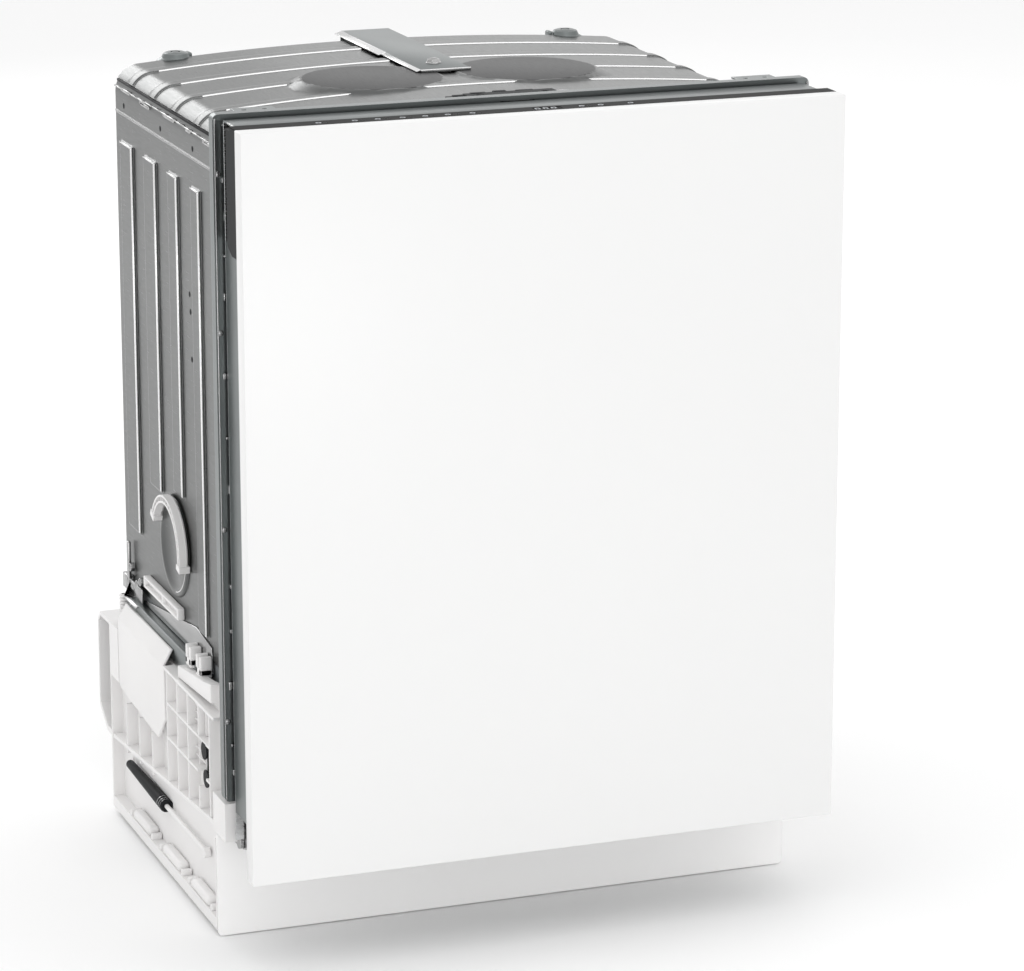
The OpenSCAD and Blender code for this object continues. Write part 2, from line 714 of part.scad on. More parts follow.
tub_wrapper();
tub_back();
base_tub();
base_tray();
tray_sides();
side_covers();
plinth();
front_frame();
door_seal();
roof_strap();
rear_spacers();
worktop_brackets();
latch_plate();
latch_body();
vent_ring();
vent_fittings();
side_ledges();
hinge_brackets();
door_springs();
rope_pulleys();
sump();
filter_plate();
circulation_pump();
drain_pump();
softener();
inlet_valve();
drain_spigot();
power_inlet();
supply_pipe();
ceiling_sprayer();
basket_rails();
fasteners();
filter_cylinder();
salt_cap();
rail_mids();
pull_rods();
foot(foot_xy[0]);  // foot_front_left
foot(foot_xy[1]);  // foot_front_right
foot(foot_xy[2]);  // foot_rear_left
foot(foot_xy[3]);  // foot_rear_right
lower_spray_arm();
furniture_panel();
door_outer();
door_liner();
console();
touch_strip();
touch_keys();
hinge_arms();
bottom_seal();
latch_hook();
dispenser_body();
dispenser_lid();
rinse_cap();
lower_basket();
wheel_carriers();
wheel_pair(wheel_y[0]);  // front_wheels
wheel_pair(wheel_y[1]);  // rear_wheels
upper_basket();
upper_spray_arm();
cutlery_tray();
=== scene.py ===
# %% [markdown]
# # A built-in dishwasher behind a white furniture panel
# The machine is a ribbed steel tub on a moulded base, with a steel door that carries the kitchen's
# own white board. Everything that moves or carries load comes from the solid model, which is loaded
# first and never moved. Each later step gives one piece its finish, or builds a finer one in the
# same place.

# %% Load the solid model
import json
import math

import bmesh
import bpy
from mathutils import Matrix, Vector


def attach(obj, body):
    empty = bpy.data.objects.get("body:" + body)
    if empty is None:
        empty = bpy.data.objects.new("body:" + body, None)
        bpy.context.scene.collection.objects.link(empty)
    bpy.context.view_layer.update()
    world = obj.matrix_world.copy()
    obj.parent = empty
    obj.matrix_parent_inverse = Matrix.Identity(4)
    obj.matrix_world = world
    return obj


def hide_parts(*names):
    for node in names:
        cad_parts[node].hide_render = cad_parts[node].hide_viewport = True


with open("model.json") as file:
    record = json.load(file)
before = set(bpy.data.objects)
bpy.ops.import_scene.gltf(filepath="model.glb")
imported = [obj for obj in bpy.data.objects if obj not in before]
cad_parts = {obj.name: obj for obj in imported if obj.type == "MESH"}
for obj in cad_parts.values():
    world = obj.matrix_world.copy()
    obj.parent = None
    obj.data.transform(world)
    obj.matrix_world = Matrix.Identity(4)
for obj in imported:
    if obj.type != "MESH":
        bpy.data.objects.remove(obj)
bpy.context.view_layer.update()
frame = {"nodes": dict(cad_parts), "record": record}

# %% [markdown]
# ## Camera
# A long lens from the left and a little above keeps the panel's edges nearly parallel. A long lens
# far away was chosen over a short one near by, because a short one would make the near corner too
# big.

# %% Camera
EYE = (-1.3627, -3.8936, 1.5022)
AIM = Vector((0.0675, 0.0, 0.3787))
LENS_MM = 148.8
FAR_LIMIT = 60
camera = bpy.data.objects.new("camera", bpy.data.cameras.new("camera"))
bpy.context.scene.collection.objects.link(camera)
camera.data.lens = LENS_MM
camera.data.clip_end = FAR_LIMIT
camera.location = EYE
camera.rotation_euler = (AIM - camera.location).to_track_quat("-Z", "Y").to_euler()
bpy.context.scene.camera = camera
bpy.context.scene.view_settings.view_transform = "Standard"
print("camera", round((AIM - camera.location).length, 2), "m from its aim")

# %% [markdown]
# ## Studio
# White sheet metal and white lacquer only read against each other if the light is soft and comes
# from several sides. Big area lamps do that. One strip behind the machine is there for the rolled
# roof corners, which mirror it.

# %% Floor and lights
SKY_STRENGTH = 0.95
FLOOR_HALF = 22


def lamp(name, place, aim, size, power, height=None):
    light = bpy.data.lights.new(name, "AREA")
    light.shape = "RECTANGLE"
    light.size, light.size_y = size, height or size
    light.energy = power
    holder = bpy.data.objects.new(name, light)
    holder.location = place
    holder.rotation_euler = (Vector(aim) - Vector(place)).to_track_quat("-Z", "Y").to_euler()
    bpy.context.scene.collection.objects.link(holder)


lamp("front_lamp", (-1.4, -4.6, 2.4), (0, 0, 0.4), 2.4, 5)
lamp("top_lamp", (0.3, -0.9, 4.2), (0, -0.2, 0.4), 4.5, 34)
lamp("left_lamp", (-3.6, -0.6, 0.7), (0, 0, 0.1), 2.2, 3)
lamp("low_lamp", (-0.9, -3.6, 0.35), (0, -0.2, 0.1), 2.6, 14, 0.6)
lamp("back_lamp", (1.9, 4.4, 2.0), (0.1, 0, 0.8), 1.6, 2.5, 1.2)
lamp("strip_lamp", (-0.75, 4.2, 2.1), (-0.25, 0, 0.8), 2.2, 30, 1.3)

world = bpy.data.worlds.new("studio")
bpy.context.scene.world = world
world.use_nodes = True
sky = world.node_tree.nodes["Background"]
sky.inputs["Color"].default_value = (1.0, 1.0, 1.0, 1)
sky.inputs["Strength"].default_value = SKY_STRENGTH

sheet = bmesh.new()
bmesh.ops.create_grid(sheet, x_segments=1, y_segments=1, size=FLOOR_HALF)
floor = bpy.data.objects.new("floor", bpy.data.meshes.new("floor"))
sheet.to_mesh(floor.data)
sheet.free()
bpy.context.scene.collection.objects.link(floor)
print("lamps and floor are in place")

# %% [markdown]
# ## Shared effects for the finishes
# Three effects come back in every finish: fine grain, soft edges and a painted highlight along the
# edges. One node group gives the grain and a second one both edge effects: a rounded edge normal,
# and a mask for the painted edge highlight. Each is built once, with its own inputs, so that a
# finish only says how strong they are. The grain stretches along one axis for rolled steel, and
# stays even for moulded plastic.

# %% Node groups: grain and edges


def group(name, inputs, outputs):
    tree = bpy.data.node_groups.new(name, "ShaderNodeTree")
    for label, value in inputs.items():
        kind = "NodeSocketVector" if isinstance(value, tuple) else "NodeSocketFloat"
        socket = tree.interface.new_socket(label, in_out="INPUT", socket_type=kind)
        socket.default_value = value
    for label, kind in outputs.items():
        tree.interface.new_socket(label, in_out="OUTPUT", socket_type=kind)
    return tree, tree.nodes.new("NodeGroupInput"), tree.nodes.new("NodeGroupOutput")


grain, grain_in, grain_out = group(
    "grain",
    {"Stretch": (1.0, 1.0, 1.0), "Fine": 400.0, "Broad": 6.0},
    {"Fine": "NodeSocketFloat", "Broad": "NodeSocketFloat"},
)
place = grain.nodes.new("ShaderNodeTexCoord")
stretch = grain.nodes.new("ShaderNodeMapping")
fine = grain.nodes.new("ShaderNodeTexNoise")
broad = grain.nodes.new("ShaderNodeTexNoise")
fine.inputs["Detail"].default_value = 4
broad.inputs["Detail"].default_value = 3
grain.links.new(place.outputs["Object"], stretch.inputs["Vector"])
grain.links.new(grain_in.outputs["Stretch"], stretch.inputs["Scale"])
grain.links.new(stretch.outputs["Vector"], fine.inputs["Vector"])
grain.links.new(place.outputs["Object"], broad.inputs["Vector"])
grain.links.new(grain_in.outputs["Fine"], fine.inputs["Scale"])
grain.links.new(grain_in.outputs["Broad"], broad.inputs["Scale"])
grain.links.new(fine.outputs["Fac"], grain_out.inputs["Fine"])
grain.links.new(broad.outputs["Fac"], grain_out.inputs["Broad"])

# The edges group gives a rounded edge normal and a Mask; the finishes use the Mask to paint a
# highlight on the edges.
edges, edges_in, edges_out = group(
    "edges",
    {"Width": 0.001, "Gain": 4.0},
    {"Mask": "NodeSocketFloat", "Normal": "NodeSocketVector"},
)
soften = edges.nodes.new("ShaderNodeBevel")
soften.samples = 4
surface = edges.nodes.new("ShaderNodeNewGeometry")
agree = edges.nodes.new("ShaderNodeVectorMath")
agree.operation = "DOT_PRODUCT"
miss = edges.nodes.new("ShaderNodeMath")
miss.operation = "SUBTRACT"
miss.inputs[0].default_value = 1.0
gain = edges.nodes.new("ShaderNodeMath")
gain.operation = "MULTIPLY"
gain.use_clamp = True
edges.links.new(edges_in.outputs["Width"], soften.inputs["Radius"])
edges.links.new(soften.outputs["Normal"], agree.inputs[0])
edges.links.new(surface.outputs["Normal"], agree.inputs[1])
edges.links.new(agree.outputs["Value"], miss.inputs[1])
edges.links.new(miss.outputs["Value"], gain.inputs[0])
edges.links.new(edges_in.outputs["Gain"], gain.inputs[1])
edges.links.new(gain.outputs["Value"], edges_out.inputs["Mask"])
edges.links.new(soften.outputs["Normal"], edges_out.inputs["Normal"])
print("node groups:", [tree.name for tree in bpy.data.node_groups])

# %% [markdown]
# ## Finishes
# A finish is a colour that drifts a little, a roughness that follows the grain, a very shallow bump
# and a painted highlight, a lighter colour along the edges. Zinc coated sheet steel looks mid grey
# with a soft mirror, so it is fully metallic with a dark tint. Moulded parts are plain plastics
# with a fine spark-eroded skin, and the kitchen board is satin lacquer.

# %% A function that makes a finish
# A Mix node's sockets share their names between data types, so the colour ones are found by number.
MIX_FACTOR, MIX_A, MIX_B, MIX_RESULT = 0, 6, 7, 2
BUMP_DEPTH = 0.0004


def finish(name, colour, rough, metallic=0.0, drift=0.08, swing=0.06, bump=0.05, fine=400.0,
           broad=6.0, stretch=(1.0, 1.0, 1.0), edge_highlight=None, edge_width=0.0008, edge_gain=4.0,
           **constants):
    material = bpy.data.materials.new(name)
    material.use_nodes = True
    tree = material.node_tree
    nodes, links = tree.nodes, tree.links
    shader = nodes["Principled BSDF"]
    shader.inputs["Metallic"].default_value = metallic
    for label, value in constants.items():
        shader.inputs[label.replace("_", " ")].default_value = value
    texture = nodes.new("ShaderNodeGroup")
    texture.node_tree = grain
    texture.inputs["Stretch"].default_value = stretch
    texture.inputs["Fine"].default_value = fine
    texture.inputs["Broad"].default_value = broad
    rim = nodes.new("ShaderNodeGroup")
    rim.node_tree = edges
    rim.inputs["Width"].default_value = edge_width
    rim.inputs["Gain"].default_value = edge_gain
    shade = nodes.new("ShaderNodeMix")
    shade.data_type = "RGBA"
    shade.inputs[MIX_A].default_value = [c * (1 - drift) for c in colour] + [1]
    shade.inputs[MIX_B].default_value = [min(1.0, c * (1 + drift)) for c in colour] + [1]
    links.new(texture.outputs["Broad"], shade.inputs[MIX_FACTOR])
    # Painted highlight: the edge mask mixes a lighter colour into the base colour along every edge.
    highlight_mix = nodes.new("ShaderNodeMix")
    highlight_mix.data_type = "RGBA"
    highlight_mix.inputs[MIX_B].default_value = list(edge_highlight or [min(1.0, c * 1.15) for c in colour]) + [1]
    links.new(rim.outputs["Mask"], highlight_mix.inputs[MIX_FACTOR])
    links.new(shade.outputs[MIX_RESULT], highlight_mix.inputs[MIX_A])
    links.new(highlight_mix.outputs[MIX_RESULT], shader.inputs["Base Color"])
    gloss = nodes.new("ShaderNodeMapRange")
    gloss.inputs["To Min"].default_value = max(0.02, rough - swing)
    gloss.inputs["To Max"].default_value = min(1.0, rough + swing)
    links.new(texture.outputs["Fine"], gloss.inputs["Value"])
    links.new(gloss.outputs["Result"], shader.inputs["Roughness"])
    relief = nodes.new("ShaderNodeBump")
    relief.inputs["Strength"].default_value = bump
    relief.inputs["Distance"].default_value = BUMP_DEPTH
    links.new(texture.outputs["Fine"], relief.inputs["Height"])
    links.new(rim.outputs["Normal"], relief.inputs["Normal"])
    links.new(relief.outputs["Normal"], shader.inputs["Normal"])
    return material


# %% The finishes of this machine
ROLLED = (1.0, 0.06, 1.0)
# Each edge colour below is a painted highlight, lighter than the finish's own colour.
FINISH = {
    "tub_steel": finish("tub_steel", (0.108, 0.111, 0.110), 0.30, 1.0, drift=0.22, swing=0.07,
                        stretch=ROLLED, fine=900, broad=5, edge_highlight=(0.80, 0.80, 0.80),
                        edge_width=0.0016, edge_gain=6),
    "frame_steel": finish("frame_steel", (0.19, 0.205, 0.205), 0.34, 1.0, drift=0.25, swing=0.07,
                          fine=700, broad=9, edge_highlight=(0.55, 0.56, 0.56), edge_gain=3),
    "bright_steel": finish("bright_steel", (0.34, 0.34, 0.34), 0.24, 1.0, drift=0.2, swing=0.06,
                           stretch=ROLLED, fine=900, broad=14, edge_highlight=(0.92, 0.92, 0.92)),
    "stainless": finish("stainless", (0.58, 0.585, 0.59), 0.27, 1.0, drift=0.08, swing=0.05,
                        stretch=(0.05, 1.0, 1.0), fine=1500, broad=4, edge_highlight=(0.8, 0.8, 0.8)),
    "basket_coating": finish("basket_coating", (0.46, 0.48, 0.50), 0.38, drift=0.05, swing=0.04),
    "white_plastic": finish("white_plastic", (0.80, 0.79, 0.785), 0.45, drift=0.035, swing=0.06,
                            bump=0.08, fine=1400, broad=9, edge_highlight=(0.97, 0.97, 0.97),
                            edge_width=0.0012, edge_gain=3),
    "grey_plastic": finish("grey_plastic", (0.30, 0.32, 0.33), 0.42, drift=0.06, fine=1400),
    "black_plastic": finish("black_plastic", (0.016, 0.017, 0.018), 0.45, drift=0.3, fine=1400,
                            edge_highlight=(0.07, 0.07, 0.075), Specular_IOR_Level=0.05),
    "black_gloss": finish("black_gloss", (0.004, 0.004, 0.004), 0.30, drift=0.2, swing=0.04,
                          bump=0.01, edge_highlight=(0.02, 0.02, 0.02), Specular_IOR_Level=0.008),
    "key_white": finish("key_white", (0.55, 0.57, 0.60), 0.35, drift=0.1),
    "seal_rubber": finish("seal_rubber", (0.028, 0.028, 0.03), 0.62, drift=0.25, fine=900),
    "panel_lacquer": finish("panel_lacquer", (0.785, 0.785, 0.782), 0.30, drift=0.008, swing=0.03,
                            bump=0.02, fine=260, broad=3, edge_highlight=(0.95, 0.95, 0.95),
                            edge_width=0.0006),
    # A pale steel used only as a painted highlight, standing in for the light caught on the rib
    # fronts, pad edges and strap folds.
    "painted_highlight_steel": finish("painted_highlight_steel", (0.80, 0.80, 0.80), 0.20, 1.0, drift=0.05,
                            stretch=ROLLED, fine=900, edge_highlight=(0.9, 0.9, 0.9)),
    "disc_steel": finish("disc_steel", (0.095, 0.095, 0.096), 0.30, 1.0, drift=0.15,
                         stretch=ROLLED, fine=900, broad=8, edge_highlight=(0.2, 0.2, 0.2),
                         Specular_Tint=(0.62, 0.62, 0.62, 1)),
    # A lightened copy of the white plastic for the plinth: painted light that offsets the shade
    # under the board.
    "plinth_white_painted_light": finish("plinth_white_painted_light", (0.93, 0.925, 0.92), 0.45, drift=0.02, fine=1400,
                         bump=0.06, edge_highlight=(0.97, 0.97, 0.97)),
}
# The plinth takes the lightened white plastic, as painted light against the shade under the board.
NODE_LOOKS = {"plinth": "plinth_white_painted_light", "worktop_brackets": "frame_steel"}
slot_of = {part["node"]: part["material_slot"] for part in frame["record"]["subparts"]}
for name, node in frame["nodes"].items():
    node.data.materials.clear()
    node.data.materials.append(FINISH[NODE_LOOKS.get(name, slot_of[name])])
floor.data.materials.append(
    finish("floor_paper", (0.97, 0.97, 0.97), 0.7, drift=0.004, swing=0.03, bump=0.01, fine=60)
)
print(len(FINISH), "finishes on", len(slot_of), "nodes")

# %% [markdown]
# ## Shaping helpers
# Pieces are drawn in millimetres, because that is how a sheet metal worker thinks, and scaled to
# metres once at the end. A part is a rounded block, a turned shape or an outline drawn out along an
# axis. Each helper makes one of these with mesh operators in a mesh of its own, and
# hands it over to the piece.

# %% Helpers that shape a part


def joined(target, part):
    """Moves a finished part into the piece's mesh."""
    carrier = bpy.data.meshes.new("part")
    part.to_mesh(carrier)
    part.free()
    target.from_mesh(carrier)
    bpy.data.meshes.remove(carrier)


def rounded(part, radius, segments=2, angle=30):
    """Bevels every edge of a part that turns by more than the angle."""
    sharp = [e for e in part.edges if e.is_manifold and e.calc_face_angle(0) > math.radians(angle)]
    bmesh.ops.bevel(part, geom=sharp, offset=radius, segments=segments, profile=0.5,
                    affect="EDGES", material=-1, clamp_overlap=True)


def block(target, x, y, z, radius=0.5, segments=2):
    part = bmesh.new()
    bmesh.ops.create_cube(part, size=1)
    bmesh.ops.scale(part, vec=(x[1] - x[0], y[1] - y[0], z[1] - z[0]), verts=part.verts)
    bmesh.ops.translate(part, vec=((x[0] + x[1]) / 2, (y[0] + y[1]) / 2, (z[0] + z[1]) / 2),
                        verts=part.verts)
    if radius:
        rounded(part, radius, segments)
    joined(target, part)


AXES = {
    "x": Matrix(((0, 0, 1), (1, 0, 0), (0, 1, 0))),
    "y": Matrix(((1, 0, 0), (0, 0, 1), (0, 1, 0))),
    "z": Matrix.Identity(3),
}


def drawn(target, outline, axis, span, radius=0.4, segments=2):
    """Draws a flat outline out along an axis, from span[0] to span[1]."""
    part = bmesh.new()
    corners = [part.verts.new((a, b, span[0])) for a, b in outline]
    part.faces.new(corners)
    raised = bmesh.ops.extrude_face_region(part, geom=part.faces[:])["geom"]
    top = [v for v in raised if isinstance(v, bmesh.types.BMVert)]
    bmesh.ops.translate(part, vec=(0, 0, span[1] - span[0]), verts=top)
    bmesh.ops.recalc_face_normals(part, faces=part.faces)
    if radius:
        rounded(part, radius, segments)
    bmesh.ops.transform(part, matrix=AXES[axis].to_4x4(), verts=part.verts)
    joined(target, part)


def turned(target, outline, centre, axis="z", steps=32):
    """Turns an outline of (radius, height) points about an axis through centre."""
    part = bmesh.new()
    points = [part.verts.new((r, 0, h)) for r, h in outline]
    for a, b in zip(points, points[1:]):
        part.edges.new((a, b))
    bmesh.ops.spin(part, geom=part.verts[:] + part.edges[:], cent=(0, 0, 0), axis=(0, 0, 1),
                   angle=math.tau, steps=steps, use_merge=True)
    bmesh.ops.remove_doubles(part, verts=part.verts, dist=0.0005)
    bmesh.ops.recalc_face_normals(part, faces=part.faces)
    bmesh.ops.transform(part, matrix=AXES[axis].to_4x4(), verts=part.verts)
    bmesh.ops.translate(part, vec=centre, verts=part.verts)
    joined(target, part)


def piece(name, shape, slot, body="cabinet", replaces=(), crease=35, look=None):
    """Turns a mesh in millimetres into a finished piece that rides on a body."""
    bmesh.ops.scale(shape, vec=(0.001, 0.001, 0.001), verts=shape.verts)
    bmesh.ops.recalc_face_normals(shape, faces=shape.faces)
    mesh = bpy.data.meshes.new(name)
    shape.to_mesh(mesh)
    shape.free()
    mesh.shade_smooth()
    mesh.set_sharp_from_angle(angle=math.radians(crease))
    made = bpy.data.objects.new(name, mesh)
    bpy.context.scene.collection.objects.link(made)
    made.data.materials.append(FINISH[look or slot])
    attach(made, body)
    if replaces:
        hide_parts(*replaces)
    print(name, len(mesh.polygons), "faces on", body)


def mirrored(shape):
    """Adds the mirror image on the other side of the machine."""
    copy = bmesh.ops.duplicate(shape, geom=shape.verts[:] + shape.edges[:] + shape.faces[:])["geom"]
    verts = [v for v in copy if isinstance(v, bmesh.types.BMVert)]
    bmesh.ops.scale(shape, vec=(-1, 1, 1), verts=verts)
    bmesh.ops.reverse_faces(shape, faces=[f for f in copy if isinstance(f, bmesh.types.BMFace)])


SIDES = (-1, 1)


def beside(side, near, far):
    """The x range between two distances from the middle, at the left (-1) or the right (1)."""
    return sorted((side * near, side * far))


def flipped(verts, axis, about):
    """Mirrors vertices across a plane that stands square to one axis (0, 1 or 2)."""
    for v in verts:
        v.co[axis] = about - (v.co[axis] - about)


print("helpers are ready")

# %% [markdown]
# ## The pressed tub
# The tub's sides and roof are one long sheet, bent over two round corners. Four ribs run over the
# roof and stop at the lap, and four tall pads are pressed out of each side. Two shallow discs lie
# in the middle of the roof. The sheet is drawn as its cross-section and extruded step by step
# towards the rear, with a step wherever a press line lies, and then the pressings are raised.

# %% Tub outline and press lines
TUB_X, TUB_Y, TUB_Z0 = 277.0, (-196.5, 227.5), 255.0
CORNER_R, CORNER_X, CORNER_Z = 26.0, 251.0, 767.0
CROWN_Z, RISE = 804.0, 11.0
VAULT_R = (CORNER_X ** 2 + RISE ** 2) / (2 * RISE)
LAP_ANGLE = 58.0
RIBS = [(167.5, 192.5), (87.5, 112.5), (11.5, 32.5), (-69.5, -47.5)]
PADS = [(161.5, 208.5, 316), (75.5, 120.5, 382), (-2.5, 32.5, 396), (-79.5, -48.5, 274)]
PAD_TOP, PAD_H, RIB_H = 721.0, 2.2, 1.6
DISC_X, DISC_Y, DISC_TOP = 80.0, -5.0, 806.5
DISC_R, DISC_FOOT, DISC_FALL = 70, 99, 13.5
RIB_FRONT, RIB_REAR = 1.6, 11
LAP_H, SEAM, SEAM_H = 1.0, (747.0, 749.0), 0.7
SHEET = 1.5


def outline_points():
    """The left half of the tub's outline, from the lower edge up to the crown."""
    levels = sorted({TUB_Z0, *range(262, 760, 14), CORNER_Z,
                     *(z for pad in PADS for z in (pad[2], pad[2] + PAD_H)),
                     PAD_TOP - PAD_H, PAD_TOP, 746.6, 747.4, 748.6, 749.4})
    points = [(-TUB_X, z, -1.0, 0.0) for z in levels]
    for angle in (86, 82, 78, 74, 70, 66, 62, 59.5, LAP_ANGLE,
                  54, 49, 44, 39, 34, 29, 24, 19, 14, 9, 5):
        a = math.radians(angle)
        points.append((-CORNER_X - CORNER_R * math.sin(a), CORNER_Z + CORNER_R * math.cos(a),
                       -math.sin(a), math.cos(a)))
    x = -CORNER_X + 4
    while x < 0:
        a = math.asin(x / VAULT_R)
        points.append((x, CROWN_Z - VAULT_R * (1 - math.cos(a)), math.sin(a), math.cos(a)))
        x += 4.0
    points.append((0.0, CROWN_Z, 0.0, 1.0))
    return points


def ramp(value, low, high):
    return max(0.0, min(1.0, (value - low) / (high - low)))


def pressed_height(x, y, z):
    """How far the sheet is pressed out at a place on the outline."""
    height = 0.0
    lap_z = CORNER_Z + CORNER_R * math.cos(math.radians(LAP_ANGLE))
    if z >= lap_z - 0.01:
        height = LAP_H
        for front, rear in RIBS:
            height += RIB_H * min(ramp(y, front, front + RIB_FRONT), ramp(rear - y, 0, RIB_REAR))
            height = max(height, LAP_H)
    elif z < CORNER_Z:
        for front, rear, foot in PADS:
            side = min(ramp(y, front, front + PAD_H), ramp(rear - y, 0, PAD_H))
            end = min(ramp(z, foot, foot + PAD_H), ramp(PAD_TOP - z, 0, PAD_H))
            height = max(height, PAD_H * min(side, end))
        if SEAM[0] < z < SEAM[1]:
            height = max(height, SEAM_H)
    return height


left = outline_points()
OUTLINE = left + [(-x, z, -nx, nz) for x, z, nx, nz in reversed(left[:-1])]
STEPS = sorted({round(y, 2) for y in [
    *(TUB_Y[0] + 5.3 * i for i in range(81)), TUB_Y[1],
    *(v for front, rear in RIBS for v in (front, front + RIB_FRONT, rear - RIB_REAR, rear)),
    *(v for front, rear, _ in PADS for v in (front, front + PAD_H, rear - PAD_H, rear))]
    if y <= TUB_Y[1]})
print(len(OUTLINE), "points round the outline,", len(STEPS), "steps along it")

# %% Extrude the outline and raise the pressings
shell = bmesh.new()
ring = [shell.verts.new((x, STEPS[0], z)) for x, z, _, _ in OUTLINE]
rims = [shell.edges.new(pair) for pair in zip(ring, ring[1:])]
for before, after in zip(STEPS, STEPS[1:]):
    grown = bmesh.ops.extrude_edge_only(shell, edges=rims)["geom"]
    bmesh.ops.translate(shell, vec=(0, after - before, 0),
                        verts=[g for g in grown if isinstance(g, bmesh.types.BMVert)])
    rims = [g for g in grown if isinstance(g, bmesh.types.BMEdge)]

normal_at = {(round(x, 2), round(z, 2)): (nx, nz) for x, z, nx, nz in OUTLINE}
for v in shell.verts:
    x, y, z = v.co
    nx, nz = normal_at[(round(x, 2), round(z, 2))]
    height = pressed_height(x, y, z)
    v.co += Vector((nx, 0, nz)) * height
    reach = math.hypot(abs(x) - DISC_X, y - DISC_Y)
    disc = DISC_TOP - DISC_FALL * ramp(reach, DISC_R, DISC_FOOT)
    if abs(x) < CORNER_X and disc > v.co.z:
        v.co.z = disc
bmesh.ops.recalc_face_normals(shell, faces=shell.faces)
if sum(f.normal.z for f in shell.faces) < 0:
    bmesh.ops.reverse_faces(shell, faces=shell.faces)
bmesh.ops.solidify(shell, geom=shell.faces[:], thickness=SHEET)
piece("tub_shell", shell, "tub_steel", replaces=["tub_wrapper"], crease=14)

# %% [markdown]
# ## Press lines with a painted highlight
# The front edge of each rib reads as a thin bright line where it catches the light. A narrow strip
# follows the outline over the roof, a hair above the rib's front slope, and gets its own thickness
# and a pale steel finish as a painted highlight, as do strips on the front and top edges of the
# side pads. The two discs get a darker finish of their own.

# %% Strips along the ribs and the pads
# Painted highlight: these strips carry pale steel where the rib fronts and pad edges catch the
# light.
lines = bmesh.new()
for front, _ in RIBS:
    row = [lines.verts.new((x + 1.15 * nx, front - 0.1, z + 1.15 * nz))
           for x, z, nx, nz in OUTLINE if abs(x) <= 252]
    spine = [lines.edges.new(pair) for pair in zip(row, row[1:])]
    grown = bmesh.ops.extrude_edge_only(lines, edges=spine)["geom"]
    bmesh.ops.translate(lines, vec=(0, 1.1, RIB_H - 0.3),
                        verts=[g for g in grown if isinstance(g, bmesh.types.BMVert)])
bmesh.ops.recalc_face_normals(lines, faces=lines.faces)
bmesh.ops.solidify(lines, geom=lines.faces[:], thickness=0.35)
for side in SIDES:
    for front, rear, foot in PADS:
        reach = beside(side, TUB_X + 1.2, TUB_X + PAD_H + 0.8)
        block(lines, reach, (front + 0.4, front + 4.6), (foot + 3, PAD_TOP - 1), 0.6)
        block(lines, reach, (front + 0.5, rear - 2), (PAD_TOP - 2.8, PAD_TOP - 0.9), 0.6)
discs = bmesh.new()
for x in (-DISC_X, DISC_X):
    turned(discs, [(0, 806.75), (67, 806.7), (69.5, 806.3), (69.5, 804), (0, 804)],
           (x, DISC_Y, 0), steps=72)
piece("roof_discs", discs, "tub_steel", look="disc_steel")
piece("press_line_highlights", lines, "bright_steel", look="painted_highlight_steel")

# %% [markdown]
# ## Seams, clips and holes along the lap
# Under each rolled corner the roof sheet laps over the side. A lap edge strip and small pressed
# clips, each a bit different, take the lighter bright steel as a painted highlight. A black strip
# in the crease is painted shadow for the groove at its edge, and black dimples are painted shade
# inside small punched holes. They are tiny, so rounded blocks and turned dimples are enough.

# %% Lap edge, clips and punched holes
# Painted highlight: the lap edge strip and the clips take the lighter bright steel, though the lap
# is the tub's own sheet.
clips = bmesh.new()
for i in range(15):
    y = -194 + 28 * i
    z = 773.6 + 0.7 * math.sin(5.7 * i)
    block(clips, (-278.6, -275.6), (y, y + 28.5), (z, z + 1.5), 0.4)
for y, length in ((-186, 20), (-128, 34), (-112, 12), (-52, 16),
                  (6, 38), (96, 30), (112, 18), (168, 32)):
    z = 770.6 + 1.2 * math.sin(0.31 * y)
    block(clips, (-278.9, -275.6), (y, y + length), (z, z + 3.6), 0.8)
mirrored(clips)
piece("lap_clips", clips, "bright_steel")

# Painted shadow: a black strip lies in the crease where the groove's shade falls.
lap_shadow = bmesh.new()
block(lap_shadow, (-275.9, -270), (-195, 225), (778.2, 780.8), 0.5)
mirrored(lap_shadow)
piece("lap_painted_shadow", lap_shadow, "black_plastic")

# Painted shade: black dimples stand in for the dark inside of the punched holes.
holes = bmesh.new()
for y, z in [(196, 757), (60, 757), (-54, 757), (-120, 742), (-150, 700), (-34, 611), (-36, 594),
             (-38, 547), (-150, 560), (-150, 430)]:
    turned(holes, [(0, 0.35), (2.3, 0.35), (2.9, 0.1), (2.9, -0.8)], (-TUB_X, y, z), "x", 20)
flipped(holes.verts, 0, -TUB_X)
mirrored(holes)
piece("punched_hole_shades", holes, "black_plastic")

# %% [markdown]
# ## Rear sheet
# The rear of the tub is a flat sheet, stiffened with upright beads. The beads are rounded bars half
# sunk in the sheet, which from outside look the same as pressed ones.

# %% Beads on the rear sheet
beads = bmesh.new()
for x in (-210, -140, -70, 70, 140, 210):
    block(beads, (x - 9, x + 9), (226.0, 230.5), (300, 740), 2.0, 3)
block(beads, (-30, 30), (226.0, 229.5), (420, 700), 1.6, 3)
for z in (284, 762):
    block(beads, (-225, 225), (226.0, 229.0), (z - 6, z + 6), 1.4, 3)
piece("rear_beads", beads, "tub_steel")

# %% [markdown]
# ## Roof strap, its nut and the rear spacers
# A bent steel strap comes up from the rear, crosses the roof and is held by a nut between the two
# discs. Its left edge is folded down, and that fold catches the light. The strap's side view is
# drawn out along X. The nut is a washer with a six-sided dome on it, and each spacer is a turned
# dome with a stop behind it.

# %% Strap, nut and washer
strap = bmesh.new()
side_view = [(263, 796), (263, 807), (260, 810), (118, 810), (4, 808.6), (4, 806.8), (118, 808.2),
             (259, 808.2), (261, 806), (261, 796)]
drawn(strap, side_view, "x", (-26, 26), 0.5)
piece("roof_strap_bent", strap, "bright_steel", replaces=["roof_strap"], crease=25,
      look="frame_steel")

